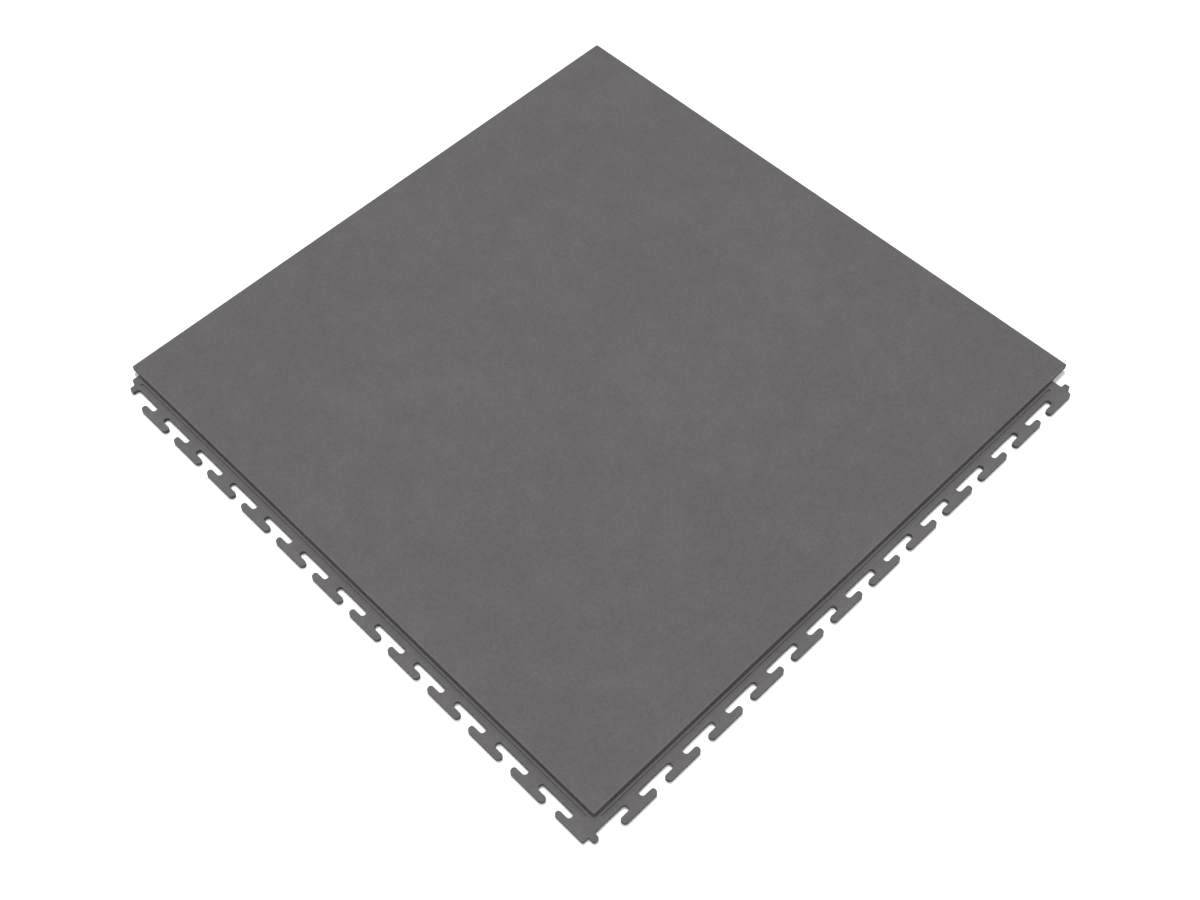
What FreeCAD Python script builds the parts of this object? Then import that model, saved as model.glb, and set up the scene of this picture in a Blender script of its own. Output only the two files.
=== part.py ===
"""Interlocking pvc floor tile, moulded in one piece, millimetres, +Z up.

The tile has two layers. The upper layer is a plain square wear plate. The lower layer
is shifted towards the front (-Y) and the left (-X): there it comes out from under the
plate as a flange with T-shaped tabs, and along the right and the back it stops short,
so that the plate overhangs. T-shaped bosses under the overhang drop into the gaps
between the tabs of the next tile, whose tabs lie in the pockets between the bosses.

The origin is the centre of the plate's square, on the face that lies on the floor.
Places along a side are counted from the front left corner of the plate, and places
across a side outwards from the plate's edge.
"""
import FreeCAD, Part
import math
import os
import Sketcher

doc = FreeCAD.newDocument("FloorTile")

# Driving sizes: alias, millimetres, meaning.
SIZES = [
    ("plate_side", 500.0, "side of the square wear plate"),
    ("plate_corner", 1.5, "plan radius of the corners of the plate"),
    ("edge_round", 0.5, "rounding of the top edge of the plate"),
    ("tile_height", 7.0, "floor to wear surface"),
    ("flange_height", 3.2, "thickness of flange and tabs"),
    ("layer_gap", 0.2, "room between a tab and the plate that covers it"),
    ("strip_width", 7.6, "plain strip of the flange beside the plate"),
    ("slot_depth", 4.95, "slot between two tabs, across the side"),
    ("head_depth", 5.15, "head of a tab, across the side"),
    ("tab_pitch", 40.55, "tab to tab"),
    ("neck_width", 11.2, "neck of a tab"),
    ("head_width", 30.8, "head of a tab"),
    ("slot_land", 0.4, "straight part in the round end of a slot"),
    ("tip_inner", 2.0, "radius of a tab's tip towards the plate"),
    ("tip_land", 0.3, "straight part of a tab's tip"),
    ("front_first", 25.6, "first tab of the front side"),
    ("left_first", 45.0, "first tab of the left side"),
    ("root", 5.0, "how far a tab's base reaches into the body"),
    ("block_reach", 16.9, "corner block, its outer side on the left"),
    ("block_low", 7.1, "corner block, its outer side on the front"),
    ("block_neck", 9.7, "corner block, end of its neck on the left side"),
    ("block_head", 19.3, "corner block, end of its head on the left side"),
    ("block_corner", 1.2, "corner block, radius of its outer corner"),
    ("nub_near", 7.1, "corner block's nub, side towards the tile"),
    ("nub_far", 11.8, "corner block's nub, side away from the tile"),
    ("nub_reach", 4.8, "corner block's nub, length beyond the strip"),
    ("nub_round", 1.6, "radius of the nubs' outer corners"),
    ("nub_foot", 1.0, "radius at the foot of a nub"),
    ("hook_neck", 16.6, "end block, its neck, along the side"),
    ("hook_head", 26.3, "end block, its head, along the side"),
    ("hook_nub_low", 8.2, "end block's nub, side towards the plate"),
    ("hook_nub_high", 13.0, "end block's nub, side away from the plate"),
    ("nub_gap", 0.7, "room between a nub and the nub of the next tile"),
    ("tail_nub_width", 5.1, "left flange's nub, along the side"),
    ("tail_nub_reach", 5.1, "left flange's nub, length beyond the strip"),
    ("tail_corner", 2.0, "radius of the corners of the left flange's end"),
    ("fit_gap", 0.3, "room round a boss in the next tile's slot"),
    ("pocket_corner", 1.5, "radius in the corners of the pockets"),
    ("rim_depth", 3.0, "rim of the lower layer that carries the bosses"),
    ("groove_near", 2.6, "groove in the flange, side towards the plate"),
    ("groove_width", 2.4, "width of that groove"),
    ("groove_depth", 0.9, "depth of that groove"),
    ("groove_start", 3.2, "where both grooves start"),
    ("groove_stop", 8.0, "from the ends of the grooves to the ends of the flanges"),
    ("rib_drop", 0.7, "height of the rib that lies in the next tile's groove"),
    ("relief_first", 47.0, "first and last relief channel of the underside, from the sides"),
    ("relief_count", 6, "relief channels each way"),
    ("relief_width", 5.0, "width of a relief channel"),
    ("relief_depth", 0.8, "depth of a relief channel"),
    ("relief_margin", 9.0, "solid margin at the ends of the channels"),
]


class Length:
    """A size with its number and the text that binds it to the sheet."""

    def __init__(self, number, text):
        self.number = number
        self.text = text

    def __add__(self, other):
        return Length(self.number + other.number, f"{self.text} + {other.text}")

    def __sub__(self, other):
        return Length(self.number - other.number, f"{self.text} - ({other.text})")

    def __mul__(self, factor):
        return Length(self.number * factor, f"({self.text}) * {factor}")

    def share(self, other):
        """Quotient of two sizes."""
        return Length(self.number / other.number, f"({self.text}) / ({other.text})")

    def steps(self, pitch):
        """Whole steps of a pitch that this length holds."""
        whole = self.share(pitch)
        return Length(math.floor(whole.number), f"floor({whole.text})")

    def times(self, count):
        """This size so many times."""
        return Length(self.number * count.number, f"({self.text}) * ({count.text})")


sheet = doc.addObject("Spreadsheet::Sheet", "Sizes")
size = {}
for row_number, (alias, value, meaning) in enumerate(SIZES, start=1):
    sheet.set(f"A{row_number}", meaning)
    sheet.set(f"B{row_number}", str(value))
    sheet.setAlias(f"B{row_number}", alias)
    size[alias] = Length(float(value), f"Sizes.{alias}")
doc.recompute()

half = size["plate_side"] * 0.5
zero = size["plate_side"] * 0.0
half_pitch = size["tab_pitch"] * 0.5
plate_base = size["flange_height"] + size["layer_gap"]
plate_thickness = size["tile_height"] - plate_base

# Lines of the tabs, outwards from the plate's edge.
strip_edge = size["strip_width"]
head_inner = strip_edge + size["slot_depth"]
head_outer = head_inner + size["head_depth"]
slot_round = (size["slot_depth"] - size["slot_land"]) * 0.5
tip_outer = size["head_depth"] - size["tip_inner"] - size["tip_land"]
block_tip = size["block_reach"] - head_inner - size["tip_inner"] - size["tip_land"]
nub_tip = strip_edge + size["nub_reach"]

# Ends of the flanges and their nubs, which stop short of the next tile's corner block.
one = Length(1.0, "1")
front_end = size["plate_side"] - size["block_reach"] - size["fit_gap"]
left_end = size["plate_side"] - strip_edge - size["fit_gap"]
hook_neck = front_end - size["hook_neck"]
hook_tip = front_end - size["hook_head"]
hook_end = size["plate_side"] - size["nub_far"] - size["nub_gap"]
tail_nub_end = size["plate_side"] - nub_tip - size["nub_gap"]
tail_nub_start = tail_nub_end - size["tail_nub_width"]
tail_width = size["nub_near"] - size["fit_gap"]
front_groove_end = front_end - size["groove_stop"]
left_groove_end = left_end - size["groove_stop"]

# Whole tabs on a side, and as many bosses on the side across.
front_room = hook_tip - size["front_first"] - half_pitch
left_room = tail_nub_start - size["left_first"] - half_pitch
front_count = front_room.steps(size["tab_pitch"]) + one
left_count = left_room.steps(size["tab_pitch"]) + one
front_last = size["tab_pitch"].times(front_count - one)
left_last = size["tab_pitch"].times(left_count - one)

# Lines of the bosses, inwards from the plate's edge, with room on every side.
rim_edge = head_outer + size["fit_gap"]
boss_inner = head_inner - size["fit_gap"]
boss_outer = strip_edge + size["fit_gap"]
boss_round = slot_round - size["fit_gap"]
boss_neck = size["tab_pitch"] - size["head_width"] - size["fit_gap"] * 2
boss_head = size["tab_pitch"] - size["neck_width"] - size["fit_gap"] * 2

body = doc.addObject("PartDesign::Body", "Tile")
body.Label = "floor_tile"


def origin_feature(role):
    """Plane or axis of the body's own origin."""
    for feature in body.Origin.OriginFeatures:
        if feature.Role == role:
            return feature
    raise RuntimeError("no " + role)


def on_side(side, along, out):
    """Point at a place along a side and a distance outwards from the plate's edge."""
    if side == "front":
        return along - half, zero - half - out
    if side == "left":
        return zero - half - out, along - half
    if side == "right":
        return half + out, along - half
    return along - half, half + out


def level_sketch(name, level):
    """Sketch on a level plane at a height above the floor."""
    sketch = body.newObject("Sketcher::SketchObject", name)
    sketch.AttachmentSupport = [(origin_feature("XY_Plane"), "")]
    sketch.MapMode = "FlatFace"
    if level is not None:
        sketch.setExpression("AttachmentOffset.Base.z", level.text)
    return sketch


def bind(sketch, name, constraint, text):
    """Add a constraint under a name and bind it to the sheet."""
    index = sketch.addConstraint(constraint)
    sketch.renameConstraint(index, name)
    sketch.setExpression("Constraints." + name, text)


def outline(sketch, corners):
    """Closed outline of straight sides along X and Y, each corner sharp or rounded.

    A corner is its x, its y and its radius, or None where it is sharp.
    """
    count = len(corners)
    number = sketch.GeometryCount
    points = []
    for x, y, radius in corners:
        points.append(FreeCAD.Vector(x.number, y.number, 0))
    ways = []
    for i in range(count):
        way = points[(i + 1) % count] - points[i]
        ways.append(way.normalize())

    sides = []
    for i in range(count):
        start = points[i]
        end = points[(i + 1) % count]
        if corners[i][2] is not None:
            start = start + ways[i] * corners[i][2].number
        if corners[(i + 1) % count][2] is not None:
            end = end - ways[i] * corners[(i + 1) % count][2].number
        sides.append(sketch.addGeometry(Part.LineSegment(start, end), False))

    for i in range(count):
        before = ways[i - 1]
        after = ways[i]
        side = sides[i]
        x, y, radius = corners[i]
        if radius is None:
            sketch.addConstraint(Sketcher.Constraint("Coincident", sides[i - 1], 2, side, 1))
        else:
            centre = points[i] - before * radius.number + after * radius.number
            turn = before.cross(after).z
            first = points[i] - before * radius.number - centre
            last = points[i] + after * radius.number - centre
            if turn < 0:
                first, last = last, first
            angle = math.atan2(first.y, first.x)
            circle = Part.Circle(centre, FreeCAD.Vector(0, 0, 1), radius.number)
            arc = sketch.addGeometry(Part.ArcOfCircle(circle, angle, angle + math.pi / 2), False)
            enter, leave = (1, 2) if turn > 0 else (2, 1)
            sketch.addConstraint(Sketcher.Constraint("Tangent", sides[i - 1], 2, arc, enter))
            sketch.addConstraint(Sketcher.Constraint("Tangent", side, 1, arc, leave))
            constraint = Sketcher.Constraint("Radius", arc, radius.number)
            bind(sketch, f"round_{number + i}", constraint, radius.text)

    for i in range(count):
        side = sides[i]
        x, y, radius = corners[i]
        level = abs(ways[i].x) > 0.5
        place = y if level else x
        sketch.addConstraint(Sketcher.Constraint("Horizontal" if level else "Vertical", side))
        kind = "DistanceY" if level else "DistanceX"
        if place.number > 0:
            constraint = Sketcher.Constraint(kind, -1, 1, side, 1, place.number)
            text = place.text
        else:
            constraint = Sketcher.Constraint(kind, side, 1, -1, 1, -place.number)
            text = f"-({place.text})"
        bind(sketch, f"place_{number + i}", constraint, text)


def pad(name, sketch, height, down=False):
    """Material on a sketch, upwards or downwards."""
    feature = body.newObject("PartDesign::Pad", name)
    feature.Profile = sketch
    feature.setExpression("Length", height.text)
    feature.Reversed = down
    doc.recompute()
    return feature


def pocket(name, sketch, depth, up=False):
    """Cut from a sketch into the tile, downwards or upwards."""
    before = body.Shape.Volume
    feature = body.newObject("PartDesign::Pocket", name)
    feature.Profile = sketch
    feature.setExpression("Length", depth.text)
    feature.Reversed = up
    doc.recompute()
    if not body.Shape.Volume < before - 1.0:
        raise RuntimeError(name + " cuts nothing")
    return feature


def row(name, feature, axis, spacing, count):
    """Row of copies of a feature along an axis."""
    pattern = body.newObject("PartDesign::LinearPattern", name)
    pattern.Originals = [feature]
    pattern.Direction = (origin_feature(axis), [""])
    pattern.setExpression("Length", spacing.times(count - one).text)
    pattern.setExpression("Occurrences", count.text)
    body.Tip = pattern
    doc.recompute()
    return pattern


def t_corners(side, centre, lines, halves, radii):
    """Corners of one T with the stretch of base that it stands on.

    lines: back of the base, edge of the base, inner and outer line of the head.
    halves: half the base, half the neck, half the head.
    radii: at the neck, at the tip's inner corner, at the tip's outer corner.
    """
    back, edge, inner, outer = lines
    base, neck, head = halves
    at_neck, at_inner, at_outer = radii
    profile = [
        (base, back, None),
        (base, edge, None),
        (neck, edge, at_neck),
        (neck, inner, at_neck),
        (head, inner, at_inner),
        (head, outer, at_outer),
    ]
    corners = []
    for across, out, radius in profile:
        corners.append((*on_side(side, centre + across, out), radius))
    for across, out, radius in reversed(profile):
        corners.append((*on_side(side, centre - across, out), radius))
    return corners


def t_row(name, side, centre, count, lines, halves, radii, height):
    """Row of T shapes along a side."""
    sketch = level_sketch(name + "Outline", None)
    outline(sketch, t_corners(side, centre, lines, halves, radii))
    first = pad(name, sketch, height)
    axis = "X_Axis" if side in ("front", "back") else "Y_Axis"
    return row(name + "Row", first, axis, size["tab_pitch"], count)


# Lower layer under the plate, with a notch along each far side for the row of bosses.
right_boss = size["left_first"] - half_pitch
back_boss = size["front_first"] + half_pitch
rim = size["plate_side"] - rim_edge
notch = rim - size["rim_depth"]
right_from = right_boss - half_pitch
right_to = right_boss + left_last + half_pitch
back_from = back_boss - half_pitch
back_to = back_boss + front_last + half_pitch

layer_corners = [
    (zero, zero, size["plate_corner"]),
    (rim, zero, None),
    (rim, right_from, None),
    (notch, right_from, None),
    (notch, right_to, None),
    (rim, right_to, None),
    (rim, rim, None),
    (back_to, rim, None),
    (back_to, notch, None),
    (back_from, notch, None),
    (back_from, rim, None),
    (zero, rim, None),
]
sketch = level_sketch("LowerLayerOutline", None)
outline(sketch, [(x - half, y - half, radius) for x, y, radius in layer_corners])
pad("LowerLayer", sketch, plate_base)

# Wear plate on top, with its upper edge rounded.
sketch = level_sketch("WearPlateOutline", plate_base)
outline(sketch, [
    (zero - half, zero - half, size["plate_corner"]),
    (half, zero - half, size["plate_corner"]),
    (half, half, size["plate_corner"]),
    (zero - half, half, size["plate_corner"]),
])
plate = pad("WearPlate", sketch, plate_thickness)
top_face = ""
for number, face in enumerate(plate.Shape.Faces, start=1):
    if face.BoundBox.ZMin > size["tile_height"].number - 0.01:
        top_face = f"Face{number}"
edge = body.newObject("PartDesign::Fillet", "PlateEdge")
edge.Base = (plate, [top_face])
edge.setExpression("Radius", "Sizes.edge_round")
doc.recompute()

# Shallow relief channels across the underside, both ways.
relief_half = size["relief_width"] * 0.5
relief_from = size["relief_margin"]
relief_to = rim - size["rim_depth"] - size["relief_margin"]
relief_room = size["plate_side"] - size["relief_first"] * 2
relief_pitch = relief_room.share(size["relief_count"] - one)
for name, side, axis in (
    ("ReliefAcross", "front", "Y_Axis"),
    ("ReliefAlong", "left", "X_Axis"),
):
    sketch = level_sketch(name + "Outline", None)
    near = zero - size["relief_first"] + relief_half
    far = zero - size["relief_first"] - relief_half
    outline(sketch, [
        (*on_side(side, relief_from, near), None),
        (*on_side(side, relief_to, near), None),
        (*on_side(side, relief_to, far), None),
        (*on_side(side, relief_from, far), None),
    ])
    channel = pocket(name, sketch, size["relief_depth"], up=True)
    row(name + "Row", channel, axis, relief_pitch, size["relief_count"])

# Under each overhang the rib that lies in the groove of the next tile's flange.
groove_far = size["groove_near"] + size["groove_width"]
groove_round = (size["groove_width"] - size["slot_land"]) * 0.5
rib_near = zero - size["groove_near"] - size["fit_gap"]
rib_far = zero - groove_far + size["fit_gap"]
rib_start = size["groove_start"] + groove_round
sketch = level_sketch("RibsOutline", plate_base)
for side, groove_end in (
    ("back", front_groove_end),
    ("right", left_groove_end),
):
    rib_end = groove_end - groove_round
    outline(sketch, [
        (*on_side(side, rib_start, rib_near), None),
        (*on_side(side, rib_end, rib_near), None),
        (*on_side(side, rib_end, rib_far), None),
        (*on_side(side, rib_start, rib_far), None),
    ])
pad("Ribs", sketch, size["rib_drop"] + size["layer_gap"], down=True)

# Corner block at the front left, with its nub, between the two rows of tabs.
corner_block = [
    (size["front_first"] - half_pitch, size["root"], None),
    (size["front_first"] - half_pitch, zero - strip_edge, None),
    (zero - size["nub_near"], zero - strip_edge, size["nub_foot"]),
    (zero - size["nub_near"], zero - nub_tip, size["nub_round"]),
    (zero - size["nub_far"], zero - nub_tip, size["nub_round"]),
    (zero - size["nub_far"], zero - size["block_low"], size["nub_foot"]),
    (zero - size["block_reach"], zero - size["block_low"], size["block_corner"]),
    (zero - size["block_reach"], size["block_head"], block_tip),
    (zero - head_inner, size["block_head"], size["tip_inner"]),
    (zero - head_inner, size["block_neck"], slot_round),
    (zero - strip_edge, size["block_neck"], slot_round),
    (zero - strip_edge, size["left_first"] - half_pitch, None),
    (size["root"], size["left_first"] - half_pitch, None),
    (size["root"], size["root"], None),
]

# End block at the right end of the front flange: half a tab with a nub on its end.
front_row_end = size["front_first"] + front_last + half_pitch
end_block = [
    (front_row_end, zero - size["root"], None),
    (front_row_end, strip_edge, None),
    (hook_neck, strip_edge, slot_round),
    (hook_neck, head_inner, slot_round),
    (hook_tip, head_inner, size["tip_inner"]),
    (hook_tip, head_outer, tip_outer),
    (front_end, head_outer, tip_outer),
    (front_end, size["hook_nub_high"], size["nub_foot"]),
    (hook_end, size["hook_nub_high"], size["nub_round"]),
    (hook_end, size["hook_nub_low"], size["nub_round"]),
    (front_end, size["hook_nub_low"], size["nub_foot"]),
    (front_end, zero, None),
    (rim - size["root"], zero, None),
    (rim - size["root"], zero - size["root"], None),
]

# Back end of the left flange, with its nub.
left_row_end = size["left_first"] + left_last + half_pitch
tail_reach = strip_edge + size["tail_nub_reach"]
tail_block = [
    (left_row_end, zero - size["root"], None),
    (left_row_end, strip_edge, None),
    (tail_nub_start, strip_edge, slot_round),
    (tail_nub_start, tail_reach, size["nub_foot"]),
    (tail_nub_end, tail_reach, size["tail_corner"]),
    (tail_nub_end, tail_width, size["tail_corner"]),
    (left_end, tail_width, size["tail_corner"]),
    (left_end, zero, None),
    (rim - size["root"], zero, None),
    (rim - size["root"], zero - size["root"], None),
]
sketch = level_sketch("BlocksOutline", None)
outline(sketch, [(x - half, y - half, radius) for x, y, radius in corner_block])
outline(sketch, [(*on_side("front", along, out), radius) for along, out, radius in end_block])
outline(sketch, [(*on_side("left", along, out), radius) for along, out, radius in tail_block])
pad("Blocks", sketch, size["flange_height"])

# T-shaped tabs on the two near sides.
tab_lines = (zero - size["root"], strip_edge, head_inner, head_outer)
tab_halves = (half_pitch, size["neck_width"] * 0.5, size["head_width"] * 0.5)
tab_radii = (slot_round, size["tip_inner"], tip_outer)
for name, side, centre, count in (
    ("FrontTab", "front", size["front_first"], front_count),
    ("LeftTab", "left", size["left_first"], left_count),
):
    t_row(name, side, centre, count, tab_lines, tab_halves, tab_radii, size["flange_height"])

# Groove along each flange.
sketch = level_sketch("GroovesOutline", size["flange_height"])
for side, groove_end in (
    ("front", front_groove_end),
    ("left", left_groove_end),
):
    outline(sketch, [
        (*on_side(side, size["groove_start"], size["groove_near"]), groove_round),
        (*on_side(side, groove_end, size["groove_near"]), groove_round),
        (*on_side(side, groove_end, groove_far), groove_round),
        (*on_side(side, size["groove_start"], groove_far), groove_round),
    ])
pocket("Grooves", sketch, size["groove_depth"])

# T-shaped bosses on the two far sides, under the overhang.
boss_lines = (
    zero - rim_edge - size["root"],
    zero - rim_edge,
    zero - boss_inner,
    zero - boss_outer,
)
boss_halves = (half_pitch, boss_neck * 0.5, boss_head * 0.5)
boss_radii = (size["pocket_corner"], boss_round, boss_round)
for name, side, centre, count in (
    ("RightBoss", "right", right_boss, left_count),
    ("BackBoss", "back", back_boss, front_count),
):
    t_row(name, side, centre, count, boss_lines, boss_halves, boss_radii, plate_base)

doc.recompute()
for item in doc.Objects:
    if "Invalid" in item.State or "Error" in item.State:
        raise RuntimeError("failed: " + item.Name)
if body.Shape.isNull() or not body.Shape.isValid() or len(body.Shape.Solids) != 1:
    raise RuntimeError("the tile isn't one valid solid")

os.makedirs("parts", exist_ok=True)
body.Shape.exportStep("parts/floor_tile.step")
print("faces", len(body.Shape.Faces), "volume cm3", round(body.Shape.Volume / 1000, 1))
print("box", body.Shape.BoundBox)
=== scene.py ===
"""Looks of the interlocking pvc floor tile: material, floor, light and camera."""
import math
import bpy
from mathutils import Matrix, Vector


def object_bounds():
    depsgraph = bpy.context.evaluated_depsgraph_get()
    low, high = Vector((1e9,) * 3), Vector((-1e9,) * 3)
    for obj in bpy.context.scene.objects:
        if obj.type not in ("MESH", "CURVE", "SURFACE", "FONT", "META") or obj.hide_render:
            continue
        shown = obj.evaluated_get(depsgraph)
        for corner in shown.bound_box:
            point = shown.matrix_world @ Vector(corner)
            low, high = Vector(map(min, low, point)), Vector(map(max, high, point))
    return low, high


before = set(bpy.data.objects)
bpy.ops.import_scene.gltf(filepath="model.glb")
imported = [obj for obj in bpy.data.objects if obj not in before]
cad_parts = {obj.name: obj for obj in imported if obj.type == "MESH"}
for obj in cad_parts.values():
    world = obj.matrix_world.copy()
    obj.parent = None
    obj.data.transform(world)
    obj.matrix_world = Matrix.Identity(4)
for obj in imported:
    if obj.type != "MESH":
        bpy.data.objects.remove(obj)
cad_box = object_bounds()
scene = bpy.context.scene


# Helpers for node materials.
def material(name):
    """New node material with its shader and output."""
    made = bpy.data.materials.new(name)
    made.use_nodes = True
    tree = made.node_tree
    tree.nodes.clear()
    out = tree.nodes.new("ShaderNodeOutputMaterial")
    shader = tree.nodes.new("ShaderNodeBsdfPrincipled")
    tree.links.new(shader.outputs["BSDF"], out.inputs["Surface"])
    return made, tree, shader, out


def node(tree, kind, **values):
    """Node with its properties and the values of its inputs."""
    made = tree.nodes.new(kind)
    for key, value in values.items():
        if hasattr(made, key):
            setattr(made, key, value)
        else:
            made.inputs[key.replace("_", " ")].default_value = value
    return made


def linear(value):
    """Linear value of an 8 bit screen value."""
    return ((value / 255 + 0.055) / 1.055) ** 2.4


# Grey pvc with a faint cloudy tone, fine specks and a pebble grain in its skin.
PLATE = (108.3, 105.7, 106.7)
ROUGHNESS = 0.6
SPECULAR = 0.2

# Clouds, blotches and specks: scale in periods a metre, detail, share of the tone.
TONES = (
    (8.0, 2.0, 0.045),
    (55.0, 3.0, 0.06),
    (480.0, 2.0, 0.11),
)

# Flange a little lighter than the plate; painted highlight towards the outer ends of the heads of its
# tabs and on the rounded rim of the plate.
FLANGE_TONE = 1.05
HEAD_HIGHLIGHT_TONE = 1.13
RIM_HIGHLIGHT_TONE = 1.12

# Where the painted highlights start and where they are whole, in metres: outwards from the centre for
# the heads and the rim, and upwards for the change from the flange's tones to the plate's.
PLATE_HALF = cad_box[1][0]
HEADS = (PLATE_HALF + 0.008, PLATE_HALF + 0.014)
RIM = (PLATE_HALF - 0.0018, PLATE_HALF - 0.0010)
PLATE_LEVEL = (0.0035, 0.0040)

# Pebble grain: cells a metre, strength and depth in metres.
GRAIN_SCALE = 620.0
GRAIN_STRENGTH = 0.3
GRAIN_DEPTH = 0.0002


def spread(tree, place, scale, detail, share):
    """Noise as a factor around 1, at a scale in periods a metre."""
    noise = node(tree, "ShaderNodeTexNoise", Scale=scale, Detail=detail, Roughness=0.55)
    tree.links.new(place.outputs["Object"], noise.inputs["Vector"])
    factor = node(tree, "ShaderNodeMapRange", From_Min=0.25, From_Max=0.75,
                  To_Min=1 - share, To_Max=1 + share)
    tree.links.new(noise.outputs["Fac"], factor.inputs["Value"])
    return factor.outputs["Result"]


def product(tree, first, second):
    """Product of two sockets."""
    made = node(tree, "ShaderNodeMath", operation="MULTIPLY")
    tree.links.new(first, made.inputs[0])
    tree.links.new(second, made.inputs[1])
    return made.outputs["Value"]


def ramp(tree, value, stretch, first, last):
    """Factor that goes from one value to another along a stretch."""
    start, end = stretch
    factor = node(tree, "ShaderNodeMapRange", From_Min=start, From_Max=end, To_Min=first, To_Max=last)
    tree.links.new(value, factor.inputs["Value"])
    return factor.outputs["Result"]


def choice(tree, factor, first, last):
    """First socket where the factor is 0, last socket where it is 1."""
    made = node(tree, "ShaderNodeMix", data_type="FLOAT")
    tree.links.new(factor, made.inputs["Factor"])
    tree.links.new(first, made.inputs["A"])
    tree.links.new(last, made.inputs["B"])
    return made.outputs["Result"]


def outwards(tree, axes):
    """Distance from the centre towards the nearest side."""
    sides = []
    for axis in ("X", "Y"):
        side = node(tree, "ShaderNodeMath", operation="ABSOLUTE")
        tree.links.new(axes.outputs[axis], side.inputs[0])
        sides.append(side.outputs["Value"])
    farther = node(tree, "ShaderNodeMath", operation="MAXIMUM")
    tree.links.new(sides[0], farther.inputs[0])
    tree.links.new(sides[1], farther.inputs[1])
    return farther.outputs["Value"]


def pvc():
    """Matt grey pvc, with painted highlights on the heads of the tabs and on the rim of the plate."""
    made, tree, shader, _ = material("grey_pvc")
    link = tree.links.new
    shader.inputs["Roughness"].default_value = ROUGHNESS
    shader.inputs["Specular IOR Level"].default_value = SPECULAR

    place = node(tree, "ShaderNodeTexCoord")
    spreads = [spread(tree, place, scale, detail, share) for scale, detail, share in TONES]
    tone = spreads[0]
    for further in spreads[1:]:
        tone = product(tree, tone, further)

    axes = node(tree, "ShaderNodeSeparateXYZ")
    link(place.outputs["Object"], axes.inputs["Vector"])
    out_from_centre = outwards(tree, axes)
    # Painted highlight: the outer ends of the tab heads and the rounded rim of the plate are drawn
    # lighter, over a flange a little lighter than the plate.
    flange_tone_and_head_highlight = ramp(tree, out_from_centre, HEADS, FLANGE_TONE, HEAD_HIGHLIGHT_TONE)
    painted_rim_highlight = ramp(tree, out_from_centre, RIM, 1.0, RIM_HIGHLIGHT_TONE)
    on_plate = ramp(tree, axes.outputs["Z"], PLATE_LEVEL, 0.0, 1.0)
    tone = product(tree, tone, choice(tree, on_plate, flange_tone_and_head_highlight, painted_rim_highlight))

    colour = node(tree, "ShaderNodeVectorMath", operation="SCALE")
    colour.inputs[0].default_value = [linear(value) for value in PLATE]
    link(tone, colour.inputs["Scale"])
    link(colour.outputs["Vector"], shader.inputs["Base Color"])

    pebbles = node(tree, "ShaderNodeTexVoronoi", Scale=GRAIN_SCALE)
    link(place.outputs["Object"], pebbles.inputs["Vector"])
    grain = node(tree, "ShaderNodeBump", Strength=GRAIN_STRENGTH, Distance=GRAIN_DEPTH)
    link(pebbles.outputs["Distance"], grain.inputs["Height"])
    link(grain.outputs["Normal"], shader.inputs["Normal"])
    return made


# Points of the mesh closer than this are one, in metres, and the size of the soft edges.
SAME_POINT = 0.00001
SOFT_EDGE = 0.00035
SOFT_EDGE_STEPS = 2
SOFT_EDGE_ANGLE = 50

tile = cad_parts["floor_tile"]
tile.data.materials.clear()
tile.data.materials.append(pvc())
weld = tile.modifiers.new("join", "WELD")
weld.merge_threshold = SAME_POINT
round_edges = tile.modifiers.new("soft_edges", "BEVEL")
round_edges.width = SOFT_EDGE
round_edges.segments = SOFT_EDGE_STEPS
round_edges.limit_method = "ANGLE"
round_edges.angle_limit = math.radians(SOFT_EDGE_ANGLE)
round_edges.use_clamp_overlap = True
round_edges.harden_normals = False


# White floor: grey for light that bounces, and white with its shadows where it is seen.
BOUNCE = 0.2
SEEN = 1.8
FLOOR_REACH = 6.0
FLOOR_LEVEL = -0.0001


def grey(value):
    """Colour of one value in all its channels."""
    return value, value, value, 1


def seen_rays(tree):
    """1 for the rays that show the white room: of the camera, in a shine and through clear things."""
    path = node(tree, "ShaderNodeLightPath")
    seen = path.outputs["Is Camera Ray"]
    for ray in ("Is Glossy Ray", "Is Transmission Ray"):
        either = node(tree, "ShaderNodeMath", operation="MAXIMUM")
        tree.links.new(seen, either.inputs[0])
        tree.links.new(path.outputs[ray], either.inputs[1])
        seen = either.outputs["Value"]
    return seen


def white_floor():
    """Material of the floor."""
    made, tree, shader, out = material("white_floor")
    tree.nodes.remove(shader)
    link = tree.links.new
    bounce = node(tree, "ShaderNodeBsdfDiffuse", Color=grey(BOUNCE))
    seen_white = node(tree, "ShaderNodeBsdfDiffuse", Color=grey(SEEN))
    mixed = node(tree, "ShaderNodeMixShader")
    link(seen_rays(tree), mixed.inputs["Fac"])
    link(bounce.outputs["BSDF"], mixed.inputs[1])
    link(seen_white.outputs["BSDF"], mixed.inputs[2])
    link(mixed.outputs["Shader"], out.inputs["Surface"])
    return made


mesh = bpy.data.meshes.new("studio_floor")
corners = [(-1, -1), (1, -1), (1, 1), (-1, 1)]
mesh.from_pydata([(x * FLOOR_REACH, y * FLOOR_REACH, 0) for x, y in corners], [], [(0, 1, 2, 3)])
floor = bpy.data.objects.new("studio_floor", mesh)
floor.data.materials.append(white_floor())
floor.location.z = FLOOR_LEVEL
scene.collection.objects.link(floor)


# Even light: a white room, a high soft sun from behind and a weak lamp in front.
ROOM_LIGHT = 0.42
SUN_LIGHT = 1.26
SUN_SPREAD = 15
SUN_FROM = (0.26, 0.33, 1.0)
FRONT_WATTS = 6.0
FRONT_SIDE = 0.8
FRONT_PLACE = (-1.5, -1.6, 3.6)
CENTRE = (0, 0, 0)

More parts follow.
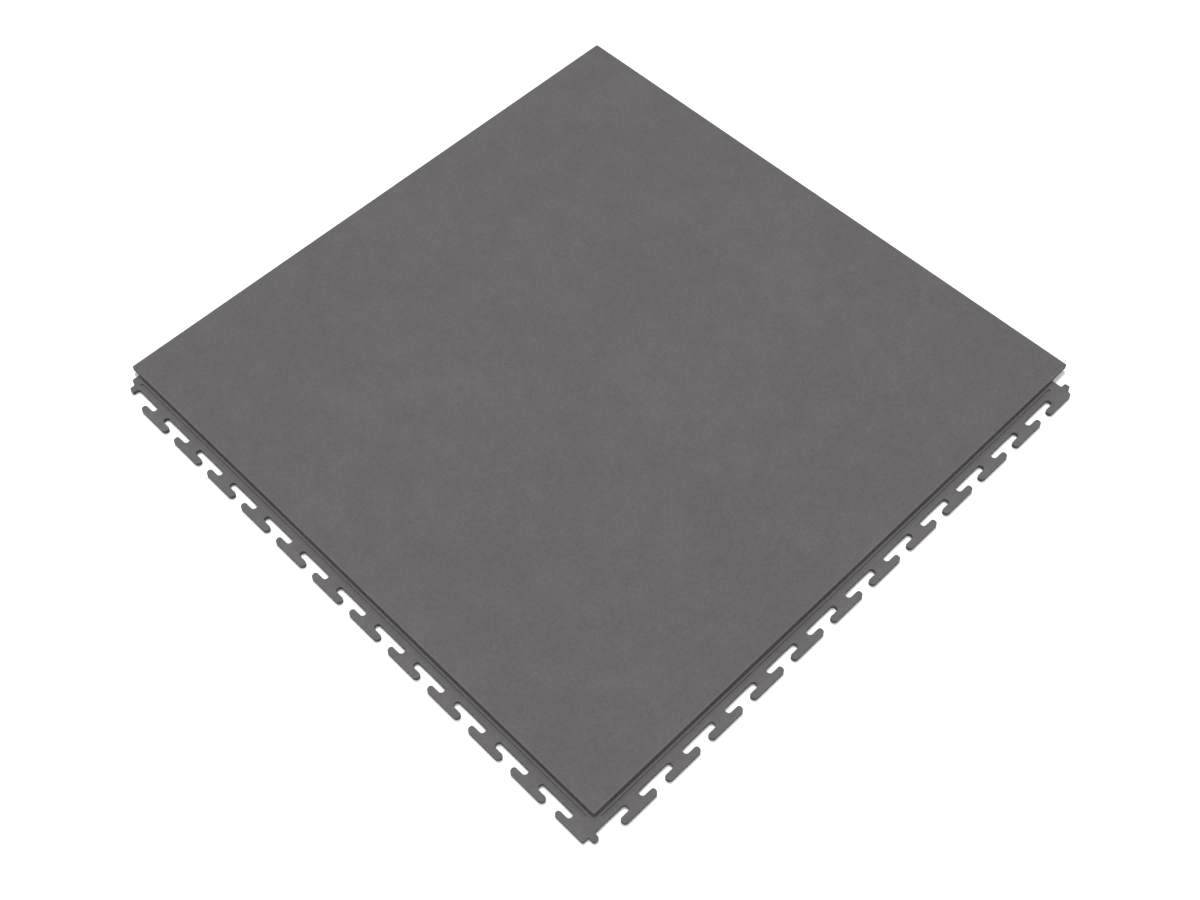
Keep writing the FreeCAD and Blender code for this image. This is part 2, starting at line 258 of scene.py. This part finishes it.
world = bpy.data.worlds.new("studio")
scene.world = world
world.use_nodes = True
tree = world.node_tree
tree.nodes.clear()
sky = node(tree, "ShaderNodeBackground", Color=grey(1), Strength=ROOM_LIGHT)
seen = node(tree, "ShaderNodeBackground", Color=grey(1), Strength=1.0)
mixed = node(tree, "ShaderNodeMixShader")
out = node(tree, "ShaderNodeOutputWorld")
tree.links.new(seen_rays(tree), mixed.inputs["Fac"])
tree.links.new(sky.outputs["Background"], mixed.inputs[1])
tree.links.new(seen.outputs["Background"], mixed.inputs[2])
tree.links.new(mixed.outputs["Shader"], out.inputs["Surface"])


def aimed(name, lamp, place, aim):
    """Put a lamp at a place and turn it to a point."""
    made = bpy.data.objects.new(name, lamp)
    made.location = place
    made.rotation_euler = (Vector(aim) - Vector(place)).to_track_quat("-Z", "Y").to_euler()
    scene.collection.objects.link(made)


sun = bpy.data.lights.new("sun", "SUN")
sun.energy = SUN_LIGHT
sun.angle = math.radians(SUN_SPREAD)
aimed("sun", sun, SUN_FROM, CENTRE)

front = bpy.data.lights.new("front", "AREA")
front.shape = "SQUARE"
front.size = FRONT_SIDE
front.energy = FRONT_WATTS
aimed("front", front, FRONT_PLACE, CENTRE)


# Camera, solved from the four corners of the wear plate. Its focal length and the middle
# of its picture are in pixels of the photo.
AZIMUTH = math.radians(42.17)
ELEVATION = math.radians(56.12)
ROLL = math.radians(-2.38)
CAMERA_PLACE = (-0.49925, -0.51043, 0.95707)
PHOTO_WIDTH = 1200
FOCAL_PIXELS = 1569.5
MIDDLE_PIXELS = 563
SENSOR_WIDTH = 36.0

ahead = Vector((
    math.sin(AZIMUTH) * math.cos(ELEVATION),
    math.cos(AZIMUTH) * math.cos(ELEVATION),
    -math.sin(ELEVATION),
))
level = Vector((math.cos(AZIMUTH), -math.sin(AZIMUTH), 0))
down = ahead.cross(level)
right = level * math.cos(ROLL) - down * math.sin(ROLL)
down = level * math.sin(ROLL) + down * math.cos(ROLL)
lens = bpy.data.cameras.new("camera")
lens.sensor_width = SENSOR_WIDTH
lens.lens = FOCAL_PIXELS * SENSOR_WIDTH / PHOTO_WIDTH
lens.shift_x = (PHOTO_WIDTH / 2 - MIDDLE_PIXELS) / PHOTO_WIDTH
lens.clip_start = 0.01
lens.clip_end = 50.0
camera = bpy.data.objects.new("camera", lens)
turn = Matrix((right, -down, -ahead)).transposed()
camera.matrix_world = Matrix.Translation(CAMERA_PLACE) @ turn.to_4x4()
scene.collection.objects.link(camera)
scene.camera = camera
scene.view_settings.view_transform = "Standard"
